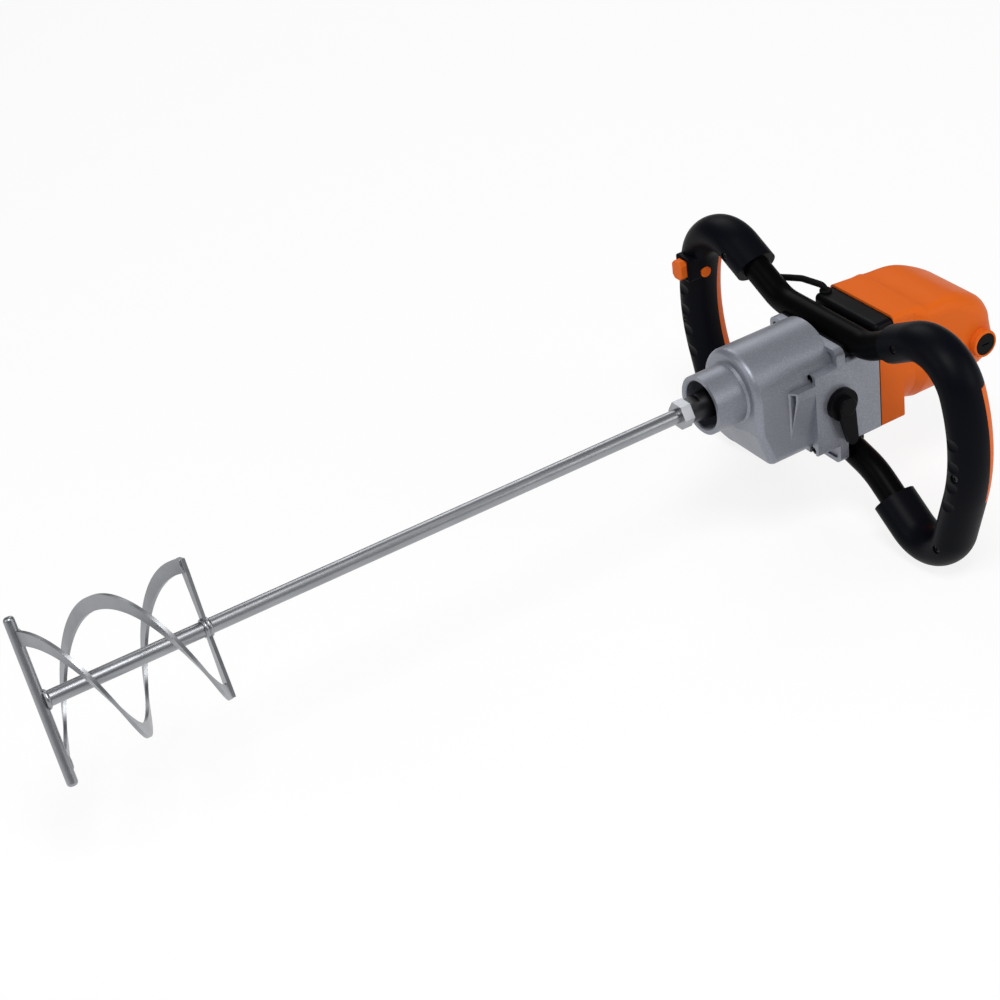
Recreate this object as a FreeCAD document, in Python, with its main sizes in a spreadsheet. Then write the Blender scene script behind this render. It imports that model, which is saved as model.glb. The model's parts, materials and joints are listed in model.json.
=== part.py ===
import FreeCAD, Part
import Sketcher
import math
import os
import re

os.makedirs("parts", exist_ok=True)
doc = FreeCAD.newDocument("mixing_drill")
sheet = doc.addObject("Spreadsheet::Sheet", "Sizes")
Vector = FreeCAD.Vector

# Millimetres and degrees. X runs from the neck to the motor, Z is up, the right grip is at -Y.
sizes = {
    # shared
    "overrun": 2,
    "slip": 0.05,
    "loose": 0.4,
    "wall": 3.5,
    # neck and front casting
    "neck_radius": 27,
    "neck_length": 30,
    "neck_edge": 1.2,
    "socket_radius": 22,
    "socket_depth": 26,
    "seal_step": 2,
    "seal_thick": 5,
    "seal_radius": 17,
    "barrel_gap": 1,
    "barrel_radius": 39,
    "case_edge": 6.5,
    "chamber_radius": 34.5,
    "web_thick": 3,
    "lobe_drop": 66,
    "lobe_corner": 10,
    "lobe_rise": 30,
    "lobe_slope": 13.5,
    "lobe_wall": 4,
    "rib_start": 64,
    "rib_top": 2,
    "rib_knee": 6,
    "rib_drop": 46,
    "rib_root": 34.8,
    "rib_lean": 5,
    "rib_rim": 1.6,
    "rib_pocket": 3,
    "rib_share": 0.75,
    "ear_start": 88,
    "ear_half": 46,
    "ear_top": 11,
    "ear_drop": 70,
    "ear_edge": 2.5,
    "ear_wall": 8,
    "plate_start": 112,
    "plate_thick": 9,
    "plate_top": 26,
    "plate_drop": 88,
    "plate_corner": 7,
    "plate_rim": 4,
    "plate_recess": 2,
    "screw_side": 38,
    "screw_high": 6,
    "screw_low": 67,
    "screw_radius": 2.5,
    "screw_head": 4,
    "screw_pocket": 4.5,
    "screw_sink": 6,
    "screw_length": 45,
    # rear casting and seam
    "back_thick": 37,
    "deck_edge": 4,
    "back_recess": 4,
    "seam_thick": 2,
    "seam_inset": 1,
    # shafts: the motor shaft lies under the spindle, the countershaft beside it
    "motor_drop": 27,
    "coarse_module": 1.5,
    "fine_module": 1,
    "low_teeth": 42,
    "low_pinion_teeth": 18,
    "high_teeth": 36,
    "high_pinion_teeth": 24,
    "reduction_teeth": 37,
    "armature_teeth": 7,
    "addendum_share": 0.7,
    "dedendum_share": 1.15,
    "gap_mouth_share": 0.39,
    "gap_floor_share": 0.22,
    # gear train stations
    "front_bearing_thick": 12,
    "front_bearing_radius": 21,
    "low_start": 56,
    "coarse_face": 14,
    "dog_depth": 3,
    "dog_count": 6,
    "dog_inner": 13,
    "dog_outer": 19,
    "dog_width": 6,
    "sleeve_gap": 0.5,
    "sleeve_body": 12.5,
    "sleeve_groove": 4,
    "sleeve_groove_start": 4.5,
    "sleeve_groove_radius": 15.5,
    "high_start": 98.5,
    "high_face": 12,
    "reduction_start": 112,
    "fine_face": 10,
    "pinion_start": 111.2,
    "pinion_face": 12.8,
    "rear_bearing_start": 126,
    "rear_bearing_thick": 7,
    "rear_bearing_radius": 12,
    "counter_front_start": 44,
    "counter_bearing_thick": 7,
    "counter_bearing_radius": 11,
    "counter_radius": 7,
    "counter_seat": 4,
    "bearing_groove": 0.8,
    "bearing_lip_share": 0.28,
    # spindle
    "nose_reach": 15,
    "nose_radius": 10.7,
    "nose_taper": 20,
    "nose_flats": 19,
    "nose_flat_length": 10,
    "seal_land": 13,
    "spindle_seat": 11,
    "spline_root": 9.2,
    "spline_tip": 10.9,
    "spline_width": 3.4,
    "spline_count": 6,
    "spline_play": 0.15,
    "spindle_rear": 9,
    "spindle_end": 7.5,
    "thread_radius": 6.6,
    "thread_depth": 32,
    "clip_thick": 1.5,
    "clip_width": 2.5,
    "clip_room": 3,
    # paddle
    "rod_radius": 6.4,
    "paddle_reach": 616,
    "rod_stop": 3,
    "nut_flats": 22,
    "nut_thick": 10,
    "crossbar_radius": 4.5,
    "crossbar_half": 70,
    "crossbar_edge": 3,
    "paddle_angle": 67.5,
    "blade_length": 140,
    "blade_outer": 58.6,
    "blade_width": 12,
    "blade_thick": 3,
    "spoke_half": 6,
    "spoke_waist": 3.6,
    # selector and fork
    "selector_x": 114,
    "selector_drop": 25,
    "selector_play": 0.3,
    "knob_radius": 15,
    "knob_base": 5.5,
    "knob_face": 58,
    "knob_edge": 1.5,
    "lever_length": 41,
    "lever_root": 9,
    "lever_tip": 5.5,
    "lever_lift": 2.5,
    "lever_angle": 9.3,
    "selector_shaft": 5,
    "selector_flange": 6.5,
    "selector_flange_thick": 2.5,
    "pin_radius": 2,
    "pin_throw": 3.2,
    "pin_swing": 75,
    "pin_play": 0.5,
    "rail_side": 26,
    "rail_drop": 30,
    "rail_radius": 3,
    "rail_hold": 4,
    "fork_thick": 3.2,
    "fork_inner": 16,
    "fork_outer": 22,
    "fork_hub": 6,
    "fork_hub_length": 14,
    "fork_arm": 9,
    "tail_side": 34.5,
    "tail_thick": 4,
    "tail_high": 14,
    "tail_low": 34,
    "tail_end": 116.5,
    "slot_high": 22,
    "slot_low": 32,
    # motor
    "motor_round": 48,
    "front_box_half": 45,
    "front_box_length": 26,
    "front_box_edge": 3,
    "shell_start": 178,
    "shell_room": 53,
    "shell_top_front": 33.3,
    "shell_half_front": 43,
    "shell_corner_front": 5,
    "neck_share": 0.38,
    "shell_top_neck": 31.6,
    "shell_half_neck": 43,
    "shell_corner_neck": 5,
    "flare_share": 0.57,
    "shell_top_flare": 30.4,
    "shell_half_flare": 48.5,
    "shell_corner_flare": 10,
    "mid_room": 4,
    "shell_top_mid": 28.4,
    "shell_half_mid": 48.5,
    "shell_corner_mid": 12,
    "brow_room": 9,
    "shell_top_brow": 26.6,
    "shell_half_brow": 48.3,
    "shell_corner_brow": 14,
    "crest_room": 22,
    "shell_top_crest": 21.6,
    "shell_half_crest": 48,
    "shell_corner_crest": 16,
    "shell_low_crest": 47.8,
    "slope_room": 33,
    "shell_top_slope": 15.8,
    "shell_half_slope": 47,
    "shell_corner_slope": 17,
    "shell_low_slope": 47.2,
    "fall_room": 44,
    "shell_top_fall": 8,
    "shell_half_fall": 43.5,
    "shell_corner_fall": 17,
    "shell_low_fall": 45,
    "shell_top_end": -5,
    "shell_half_end": 34,
    "shell_corner_end": 15,
    "shell_low_end": 38,
    "bore_radius": 38.5,
    "bore_room": 8,
    "rear_bore_radius": 33,
    "rear_bore_room": 42,
    "vent_count": 4,
    "vent_half": 20,
    "vent_high": 3,
    "vent_step": 8,
    "vent_low": 64,
    "brush_room": 32,
    "boss_radius": 13,
    "boss_face": 52,
    "cap_radius": 10.6,
    "cap_thick": 3,
    "cap_plug": 8.5,
    "cap_plug_length": 8,
    "cap_slot": 1.4,
    "holder_inner": 18,
    "brush_half": 4.5,
    "shaft_radius": 5,
    "front_seat": 6,
    "core_seat": 7,
    "rear_seat": 5,
    "motor_front_bearing": 142,
    "motor_bearing_thick": 10,
    "motor_bearing_radius": 16,
    "rear_bearing_room": 43,
    "motor_rear_thick": 7,
    "motor_rear_radius": 11,
    "fan_start": 164,
    "fan_hub": 14,
    "fan_disc": 3,
    "fan_length": 12,
    "fan_radius": 36,
    "fan_blades": 12,
    "fan_blade_thick": 2,
    "fan_blade_inner": 18,
    "baffle_start": 178,
    "baffle_thick": 3,
    "baffle_inner": 26,
    "stator_start": 190,
    "stator_end": 240,
    "pole_radius": 24.6,
    "slot_radius": 31,
    "pole_half": 16,
    "coil_overhang": 6,
    "coil_outer": 36,
    "coil_inner": 26,
    "core_radius": 24,
    "core_slots": 12,
    "core_slot_width": 3,
    "core_slot_depth": 5,
    "winding_overhang": 9,
    "winding_radius": 21,
    "commutator_room": 24,
    "commutator_length": 16,
    "commutator_radius": 15,
    "commutator_bars": 24,
    "bar_gap": 0.8,
    "bar_gap_depth": 1,
    # terminal cover
    "cover_half": 42.5,
    "cover_top": 31,
    "cover_edge": 5,
    "cover_wall": 2.5,
    # handle: corners of one half, measured across (side) and up (rise)
    "handle_x": 136.5,
    "tube_radius": 12.5,
    "tube_wall": 2,
    "bar_rise": 26.5,
    "arm_side": 58,
    "arm_bend": 45,
    "top_side": 162,
    "top_rise": 79.5,
    "top_bend": 42,
    "belly_side": 194,
    "belly_rise": -18,
    "belly_bend": 170,
    "foot_side": 152,
    "foot_rise": -161,
    "foot_bend": 36,
    "low_arm_side": 62,
    "low_arm_rise": -96,
    "low_arm_bend": 70,
    "low_bar_side": 22,
    "low_bar_rise": -84.5,
    "low_bar_bend": 60,
    "collar_side": 95,
    "tube_end_side": 108,
    "low_collar_side": 87,
    "low_tube_end_side": 104,
    "grip_across": 16.5,
    "grip_along": 20.5,
    "grip_split": 8,
    "panel_high": 40,
    "panel_low": 70,
    "dip_count": 4,
    "dip_top": -5,
    "dip_step": 21,
    "dip_radius": 10,
    "dip_depth": 1.8,
    "saddle_inset": 0.2,
    "saddle_length": 30,
    "saddle_half": 42,
    "saddle_gap": 5,
    "low_saddle_half": 30,
    "bar_screw_side": 26,
    "low_bar_screw_side": 12,
    "bar_screw_radius": 3,
    "bar_screw_head": 4.5,
    "bar_screw_head_thick": 2.6,
    "bar_nut_thick": 4,
    "bar_screw_bite": 10,
    "bar_screw_sink": 1.2,
    "bar_screw_edge": 1,
    # grip screws, trigger, lock button, switch
    "grip_screw_a_side": 115,
    "grip_screw_b_rise": -37,
    "grip_screw_b_side": 188,
    "grip_screw_c_rise": -120,
    "grip_screw_c_side": 164,
    "grip_screw_a_rise": 55.5,
    "grip_screw_head": 3.2,
    "grip_screw_pocket": 3.9,
    "grip_screw_sink": 3.5,
    "grip_screw_shank": 1.6,
    "grip_screw_length": 30,
    "trigger_x": 104,
    "trigger_block": 12,
    "trigger_reach": 22,
    "trigger_near": 167.5,
    "trigger_far": 182,
    "trigger_stem_near": 174,
    "trigger_low": 14,
    "trigger_high": 32.5,
    "trigger_edge": 1,
    "trigger_corner": 3.5,
    "trigger_travel": 6,
    "trigger_lip": 2,
    "trigger_lip_thick": 2.5,
    "bezel_x": 110.5,
    "bezel_end": 124,
    "bezel_rim": 2.6,
    "bezel_edge": 2,
    "lock_x": 130.3,
    "lock_rise": 15.9,
    "lock_face": 164.8,
    "lock_length": 6,
    "lock_radius": 5.5,
    "lock_edge": 0.8,
    "lock_travel": 2.5,
    "switch_gap": 0.5,
    "switch_length": 13,
    "switch_near": 174.5,
    "switch_far": 185.5,
    "switch_low": 16.5,
    "switch_high": 34.5,
    "post_half": 4,
    # lead and cord inlet
    "lead_radius": 3,
    "lead_bore": 3.1,
    "lead_behind": 14.3,
    "lead_below": 7,
    "lead_in_side": 106,
    "lead_out_side": 83,
    "lead_bow_x": 155,
    "lead_bow_side": 73,
    "lead_bow_rise": 36,
    "lead_crest_x": 160,
    "lead_crest_side": 60,
    "lead_crest_rise": 38.2,
    "lead_end_x": 167.5,
    "lead_end_side": 36.5,
    "lead_end_rise": 36.8,
    "lead_dip_bend": 12,
    "lead_bow_bend": 20,
    "lead_crest_bend": 20,
    "lead_end_bend": 6,
    "lead_end_depth": 6,
    "gland_radius": 5.5,
    "gland_length": 3,
    "inlet_side": 170.5,
    "inlet_drop": 98,
    "inlet_start": 150,
    "inlet_end": 170,
    "inlet_radius": 7,
    "inlet_bore": 4,
    # worked out from the sizes above
    "barrel_start": "=neck_length + barrel_gap",
    "seal_start": "=socket_depth + seal_step",
    "front_bearing_start": "=seal_start + seal_thick",
    "front_bearing_end": "=front_bearing_start + front_bearing_thick",
    "chamber_start": "=front_bearing_end + web_thick",
    "counter_front_end": "=counter_front_start + counter_bearing_thick",
    "lobe_cavity_half": "=barrel_radius - lobe_wall",
    "lobe_cavity_drop": "=lobe_drop - lobe_wall",
    "ear_cavity_half": "=ear_half - ear_wall",
    "ear_cavity_drop": "=ear_drop - ear_wall + loose",
    "back_start": "=plate_start + plate_thick",
    "back_end": "=back_start + back_thick",
    "chamber_end": "=back_start + back_recess",
    "motor_start": "=back_end + seam_thick",
    "deck": "=bar_rise - tube_radius",
    "coarse_distance": "=coarse_module * (low_teeth + low_pinion_teeth) / 2",
    "fine_distance": "=fine_module * (reduction_teeth + armature_teeth) / 2",
    "counter_rise": "=(fine_distance^2 - coarse_distance^2 - motor_drop^2) / (2 * motor_drop)",
    "counter_side": "=sqrt(coarse_distance^2 - counter_rise^2)",
    "low_end": "=low_start + coarse_face",
    "sleeve_start": "=low_end + dog_depth + sleeve_gap",
    "sleeve_end": "=sleeve_start + sleeve_body",
    "high_end": "=high_start + high_face",
    "rear_bearing_end": "=rear_bearing_start + rear_bearing_thick",
    "counter_rear_end": "=rear_bearing_start + counter_bearing_thick",
    "pinion_end": "=pinion_start + pinion_face",
    "motor_bearing_end": "=motor_front_bearing + motor_bearing_thick",
    "bore_end": "=stator_end + bore_room",
    "rear_bore_end": "=stator_end + rear_bore_room",
    "brush_x": "=stator_end + brush_room",
    "motor_rear_bearing": "=stator_end + rear_bearing_room",
    "commutator_start": "=stator_end + commutator_room",
    "commutator_end": "=commutator_start + commutator_length",
    "shell_end": "=stator_end + shell_room",
    "shell_x_brow": "=stator_end + brow_room",
    "shell_x_crest": "=stator_end + crest_room",
    "shell_x_slope": "=stator_end + slope_room",
    "shell_x_fall": "=stator_end + fall_room",
    "shell_x_mid": "=stator_end - mid_room",
    "shell_x_neck": "=shell_start + (shell_x_mid - shell_start) * neck_share",
    "shell_x_flare": "=shell_start + (shell_x_mid - shell_start) * flare_share",
    "motor_rear_end": "=motor_rear_bearing + motor_rear_thick",
    "spline_end": "=high_start - dog_depth",
    "blade_inner": "=blade_outer - blade_width",
    "nut_end": "=nose_reach + nut_thick",
    "shell_x_front": "=shell_start",
    "shell_low_front": "=front_box_half",
    "shell_low_neck": "=front_box_half",
    "shell_low_flare": "=motor_round",
    "shell_low_mid": "=motor_round",
    "shell_low_brow": "=motor_round",
    "shell_x_end": "=shell_end",
    "trigger_split": "=trigger_x + trigger_block",
    "trigger_end": "=trigger_x + trigger_reach",
    "switch_start": "=trigger_end + trigger_travel + switch_gap",
    "switch_end": "=switch_start + switch_length",
}
for row, (name, value) in enumerate(sizes.items(), 1):
    sheet.set("A" + str(row), name)
    sheet.set("B" + str(row), str(value))
    sheet.setAlias("B" + str(row), name)
doc.recompute()


def size(name):
    return float(getattr(sheet, name))


def bound(text):
    return re.sub(r"[a-z][a-z_]+", lambda m: "Sizes." + m.group(0) if m.group(0) in sizes else m.group(0),
                  text)


def place(item, x="0", y="0", z="0", turn=None):
    if turn:
        item.Placement.Rotation = turn
    for axis, text in zip("xyz", (x, y, z)):
        item.setExpression("Placement.Base." + axis, bound(text))
    return item


def block(label, x, y, z):
    item = doc.addObject("Part::Box", label)
    for prop, (low, high) in zip(("Length", "Width", "Height"), (x, y, z)):
        item.setExpression(prop, bound("(" + high + ") - (" + low + ")"))
    return place(item, x[0], y[0], z[0])


near_zero = 0.001
turns = {
    "x": FreeCAD.Rotation(Vector(0, 1, 0), 90),
    "y": FreeCAD.Rotation(Vector(1, 0, 0), -90),
    "z": FreeCAD.Rotation(),
}


def bar(label, axis, radius, span, first="0", second="0"):
    item = doc.addObject("Part::Cylinder", label)
    item.setExpression("Radius", bound(radius))
    item.setExpression("Height", bound("(" + span[1] + ") - (" + span[0] + ")"))
    spots = {"x": (span[0], first, second), "y": (first, span[0], second), "z": (first, second, span[0])}
    return place(item, *spots[axis], turn=turns[axis])


def join(label, *pieces):
    item = doc.addObject("Part::MultiFuse", label)
    item.Shapes = list(pieces)
    item.Refine = True
    return item


def cut(label, base, *tools):
    item = doc.addObject("Part::Cut", label)
    item.Base = base
    item.Tool = tools[0] if len(tools) == 1 else join(label + "_tools", *tools)
    return item


def common(label, base, tool):
    item = doc.addObject("Part::Common", label)
    item.Base = base
    item.Tool = tool
    return item


def rounded(label, base, radius, chosen, chamfer=False):
    doc.recompute()
    item = doc.addObject("Part::Chamfer" if chamfer else "Part::Fillet", label)
    item.Base = base
    amount = size(radius)
    item.Edges = [(n, amount, amount) for n, edge in enumerate(base.Shape.Edges, 1) if chosen(edge)]
    return item


def along(axis, test=None):
    def chosen(edge):
        if len(edge.Vertexes) < 2:
            return False
        run = edge.Vertexes[1].Point - edge.Vertexes[0].Point
        straight = abs(abs(getattr(run, axis)) - edge.Length) < near_zero
        return straight and (test is None or test(edge.CenterOfMass))
    return chosen


def outline(body, plane, points, offset="0"):
    sketch = body.newObject("Sketcher::SketchObject", body.Label + "_outline")
    face = [f for f in body.Origin.OriginFeatures if f.Name.startswith(plane)][0]
    sketch.AttachmentSupport = [(face, "")]
    sketch.MapMode = "FlatFace"
    sketch.setExpression("AttachmentOffset.Base.z", bound(offset))
    count = len(points)
    ring = [Vector(math.cos(2 * math.pi * k / count), math.sin(2 * math.pi * k / count),
                   0) for k in range(count)]
    for k in range(count):
        sketch.addGeometry(Part.LineSegment(ring[k], ring[(k + 1) % count]))
    for k in range(count):
        sketch.addConstraint(Sketcher.Constraint("Coincident", k, 2, (k + 1) % count, 1))
    for k, spot in enumerate(points):
        for kind, text, axis in (("DistanceX", spot[0], -2), ("DistanceY", spot[1], -1)):
            if text == "0":
                sketch.addConstraint(Sketcher.Constraint("PointOnObject", k, 1, axis))
            else:
                index = sketch.addConstraint(Sketcher.Constraint(kind, -1, 1, k, 1, 1))
                sketch.setExpression("Constraints[" + str(index) + "]", bound(text))
    doc.recompute()
    return sketch


def turned(label, points):
    body = doc.addObject("PartDesign::Body", label)
    sketch = outline(body, "XZ", points)
    item = body.newObject("PartDesign::Revolution", label + "_turn")
    item.Profile = sketch
    item.ReferenceAxis = (sketch, ["H_Axis"])
    item.Angle = 360
    body.Tip = item
    doc.recompute()
    return body


def padded(label, plane, points, length, offset="0", middle=False):
    body = doc.addObject("PartDesign::Body", label)
    sketch = outline(body, plane, points, offset)
    item = body.newObject("PartDesign::Pad", label + "_pad")
    item.Profile = sketch
    item.setExpression("Length", bound(length))
    item.Midplane = middle
    body.Tip = item
    doc.recompute()
    return body


def ring_of(label, points, length, count):
    body = padded(label, "YZ", points, length)
    pattern = body.newObject("PartDesign::PolarPattern", label + "_ring")
    pattern.Originals = [body.Tip]
    pattern.Axis = (body.Tip.Profile[0], ["N_Axis"])
    pattern.Angle = 360
    pattern.setExpression("Occurrences", bound(count))
    body.Tip = pattern
    doc.recompute()
    return body


def spread(label, half, inner, outer, length, count):
    points = [(inner, "-" + half), (outer, "-" + half), (outer, half), (inner, half)]
    return ring_of(label, points, length, count)


def gear(label, teeth, module, face, x, side, rise, angle, bore=None):
    body = doc.addObject("PartDesign::Body", label + "_blank")
    outer = module + " * (" + teeth + " / 2 + addendum_share)"
    root = module + " * (" + teeth + " / 2 - dedendum_share)"
    sketch = outline(body, "XZ", [("0", "0"), (face, "0"), (face, outer), ("0", outer)])
    disc = body.newObject("PartDesign::Revolution", label + "_disc")
    disc.Profile = sketch
    disc.ReferenceAxis = (sketch, ["H_Axis"])
    disc.Angle = 360
    body.Tip = disc
    doc.recompute()
    mouth = "gap_mouth_share * pi * " + module
    floor = "gap_floor_share * pi * " + module
    points = [(root, "-" + floor), (outer, "-" + mouth), (outer + " + overrun", "-" + mouth)]
    points += [(outer + " + overrun", mouth), (outer, mouth), (root, floor)]
    gap_sketch = outline(body, "YZ", points)
    gap = body.newObject("PartDesign::Pocket", label + "_gap")
    gap.Profile = gap_sketch
    gap.Type = 1
    gap.Midplane = True
    body.Tip = gap
    doc.recompute()
    pattern = body.newObject("PartDesign::PolarPattern", label + "_teeth")
    pattern.Originals = [gap]
    pattern.Axis = (gap_sketch, ["N_Axis"])
    pattern.Angle = 360
    pattern.setExpression("Occurrences", bound(teeth))
    body.Tip = pattern
    doc.recompute()
    body.Placement.Rotation = FreeCAD.Rotation(Vector(1, 0, 0), angle)
    place(body, x, side, rise)
    doc.recompute()
    if bore is None:
        return body
    hole = bar(label + "_bore", "x", bore, (x + " - overrun", x + " + " + face + " + overrun"), side, rise)
    return cut(label + "_bored", body, hole)


def shaped(label, shape):
    item = doc.addObject("Part::Feature", label)
    item.Shape = shape
    return item


nodes = {}


def node(name, item):
    nodes[name] = item
    return item


inf_y = ("-ear_half - overrun", "ear_half + overrun")


# Front casting
def side_rib(side, sign):
    label = "case_rib_" + side
    body = padded(label + "_body", "YZ", [
        (sign + "rib_root", "rib_top"), (sign + "ear_half", "rib_top"), (sign + "ear_half", "-rib_knee"),
        (sign + "barrel_radius", "-rib_drop"), (sign + "rib_root", "-rib_drop")],
        "ear_start - rib_start + overrun", "rib_start")
    outer = sign + "(ear_half + overrun)"
    bevel = padded(label + "_bevel", "XY", [
        ("rib_start", sign + "barrel_radius"), ("rib_start + rib_lean", sign + "ear_half"),
        ("rib_start + rib_lean", outer), ("rib_start - overrun", outer),
        ("rib_start - overrun", sign + "barrel_radius")],
        "rib_top + rib_drop + 2 * overrun", "-rib_drop - overrun")
    pocket = padded(label + "_pocket", "YZ", [
        (sign + "(barrel_radius + rib_rim)", "rib_top - rib_rim"),
        (sign + "(ear_half - rib_rim)", "rib_top - rib_rim"), (sign + "(ear_half - rib_rim)", "-rib_knee"),
        (sign + "(barrel_radius + rib_rim)", "-rib_drop * rib_share")],
        "rib_lean + rib_pocket + overrun", "rib_start - overrun")
    return cut(label, body, bevel, pocket)


def front_casting():
    tail = "plate_start + plate_recess"
    body = turned("case_barrel", [
        ("0", "0"), ("0", "neck_radius"), ("neck_length - barrel_gap", "neck_radius"),
        ("barrel_start", "neck_radius + 2 * barrel_gap"), ("barrel_start", "barrel_radius"),
        (tail, "barrel_radius"), (tail, "0")])
    edge_x = size("barrel_start")
    barrel = rounded("case_barrel_edge", body, "case_edge", lambda e: len(e.Vertexes) == 1
                     and abs(e.CenterOfMass.x - edge_x) < near_zero
                     and abs(e.Curve.Radius - size("barrel_radius")) < near_zero)
    lobe = padded("case_lobe", "XZ", [
        ("barrel_start", "0"), (tail, "0"), (tail, "-lobe_drop"),
        ("barrel_start + lobe_slope", "-lobe_drop"), ("barrel_start", "-lobe_rise")],
        "2 * barrel_radius", middle=True)
    behind = size("plate_start")
    bend = -size("lobe_rise")
    lobe = rounded("case_lobe_corner", lobe, "lobe_corner", along("x", lambda c: c.z < bend))
    lobe = rounded("case_lobe_edge", lobe, "case_edge", lambda e: e.CenterOfMass.x < behind / 2
                   and e.CenterOfMass.z < -near_zero and abs(e.CenterOfMass.z - bend) > near_zero)
    ribs = [side_rib("left", ""), side_rib("right", "-")]
    ears = block("case_ears", ("ear_start", tail), ("-ear_half", "ear_half"), ("-ear_drop", "ear_top"))
    ears = rounded("case_ears_edge", ears, "ear_edge", along("x"))
    plate = block("case_plate", ("plate_start", "back_start"), ("-ear_half", "ear_half"),
                  ("-plate_drop", "plate_top"))
    plate = rounded("case_plate_corner", plate, "plate_corner", along("x"))
    dish = block("case_dish", ("plate_start - overrun", tail),
                 ("-ear_half + plate_rim", "ear_half - plate_rim"),
                 ("-plate_drop + plate_rim", "plate_top - plate_rim"))
    dish = rounded("case_dish_corner", dish, "plate_rim", along("x"))
    plate = cut("case_plate_dished", plate, dish)
    return join("case_outer", barrel, lobe, ears, plate, *ribs)


def chamber(label, round_end, round_radius, end):
    round_part = bar(label + "_round", "x", round_radius, ("chamber_start", round_end))
    lobe_part = block(label + "_lobe", ("counter_front_end", "ear_start"),
                      ("-lobe_cavity_half", "lobe_cavity_half"),
                      ("-lobe_cavity_drop", "0"))
    ear_part = block(label + "_ear", ("ear_start", end), ("-ear_cavity_half", "ear_cavity_half"),
                     ("-ear_cavity_drop", "0"))
    return [round_part, lobe_part, ear_part]


def case_screw_spots():
    return [(y, z) for y in ("-screw_side", "screw_side") for z in ("screw_high", "-screw_low")]


def make_gear_case():
    tools = [
        bar("cut_socket", "x", "socket_radius", ("-overrun", "socket_depth")),
        turned("cut_mouth", [("0", "0"), ("0", "socket_radius + neck_edge"), ("neck_edge", "socket_radius"),
                             ("neck_edge", "0")]),
        bar("cut_passage", "x", "seal_land + loose", ("-overrun", "front_bearing_start")),
        bar("cut_seal", "x", "seal_radius", ("seal_start", "front_bearing_start")),
        bar("cut_front_seat", "x", "front_bearing_radius", ("front_bearing_start", "front_bearing_end")),
        bar("cut_web", "x", "dog_outer", ("front_bearing_start", "chamber_start + overrun")),
        bar("cut_counter_seat", "x", "counter_bearing_radius",
            ("counter_front_start", "counter_front_end + overrun"),
            "counter_side", "counter_rise"),
        bar("cut_rail", "x", "rail_radius", ("counter_front_end - rail_hold",
                                             "counter_front_end + overrun"),
            "-rail_side", "-rail_drop"),
        bar("cut_selector", "y", "selector_shaft + slip", inf_y[:1] + ("-ear_cavity_half + overrun",),
            "selector_x", "-selector_drop"),
    ]
    tools += chamber("cut_chamber", "plate_start", "chamber_radius", "back_start + overrun")
    tools.append(bar("cut_spindle_way", "x", "rear_bearing_radius",
                     ("chamber_start", "back_start + overrun")))
    for k, (y, z) in enumerate(case_screw_spots()):
        tools.append(bar("cut_screw_" + str(k), "x", "screw_radius + slip",
                         ("ear_start", "back_start + overrun"), y, z))
        tools.append(bar("cut_pocket_" + str(k), "x", "screw_pocket",
                         ("ear_start - overrun", "ear_start + screw_sink"), y, z))
    node("gear_case", cut("gear_case", front_casting(), *tools))


def make_gearbox_back():
    body = block("back_block", ("back_start", "back_end"), ("-ear_half", "ear_half"), ("-ear_drop", "deck"))
    body = rounded("back_edge", body, "deck_edge", along("x"))
    tools = chamber("back_chamber", "chamber_end", "rear_bearing_radius", "chamber_end")
    tools += [
        bar("back_spindle_seat", "x", "rear_bearing_radius",
            ("chamber_end - overrun", "rear_bearing_end + clip_room + overrun")),
        bar("back_counter_seat", "x", "counter_bearing_radius",
            ("chamber_end - overrun", "counter_rear_end"),
            "counter_side", "counter_rise"),
        bar("back_motor_passage", "x", "front_seat + wall", ("chamber_end - overrun", "back_end + overrun"),
            "0", "-motor_drop"),
        bar("back_motor_seat", "x", "motor_bearing_radius", ("motor_front_bearing", "back_end + overrun"),
            "0", "-motor_drop"),
        bar("back_rail", "x", "rail_radius", ("chamber_end - overrun", "chamber_end + rail_hold"),
            "-rail_side", "-rail_drop"),
    ]
    for k, (y, z) in enumerate(case_screw_spots()):
        tools.append(bar("back_screw_" + str(k), "x", "screw_radius + slip",
                         ("back_start - overrun", "ear_start + screw_sink + screw_length"), y, z))
    for k, side in enumerate(("bar_screw_side", "-bar_screw_side")):
        tools.append(bar("back_bar_screw_" + str(k), "z", "bar_screw_radius",
                         ("deck - bar_screw_bite", "deck + overrun"),
                         "handle_x", side))
    for k, side in enumerate(("low_bar_screw_side", "-low_bar_screw_side")):
        tools.append(bar("back_low_screw_" + str(k), "z", "bar_screw_radius",
                         ("-ear_drop - overrun", "-ear_drop + overrun"), "handle_x", side))
    node("gearbox_back", cut("gearbox_back", body, *tools))


def socket_head(label, axis, head, thick, shank, spot, first, second, length):
    top = bar(label + "_head", axis, head, (spot, spot + " + " + thick), first, second)
    stem = bar(label + "_shank", axis, shank, (spot + " + " + thick + " - overrun / 2",
                                               spot + " + " + length), first, second)
    body = join(label + "_solid", top, stem)
    key = bar(label + "_key", axis, head + " * bearing_lip_share * 2",
              (spot + " - overrun", spot + " + " + thick + " / 2"),
              first, second)
    return cut(label, body, key)


def make_case_screws():
    pieces = []
    for k, (y, z) in enumerate(case_screw_spots()):
        pieces.append(socket_head("case_screw_" + str(k), "x", "screw_head", "screw_head", "screw_radius",
                                  "ear_start + screw_sink - screw_head", y, z, "screw_length"))
    node("case_screws", join("case_screws", *pieces))


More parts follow.
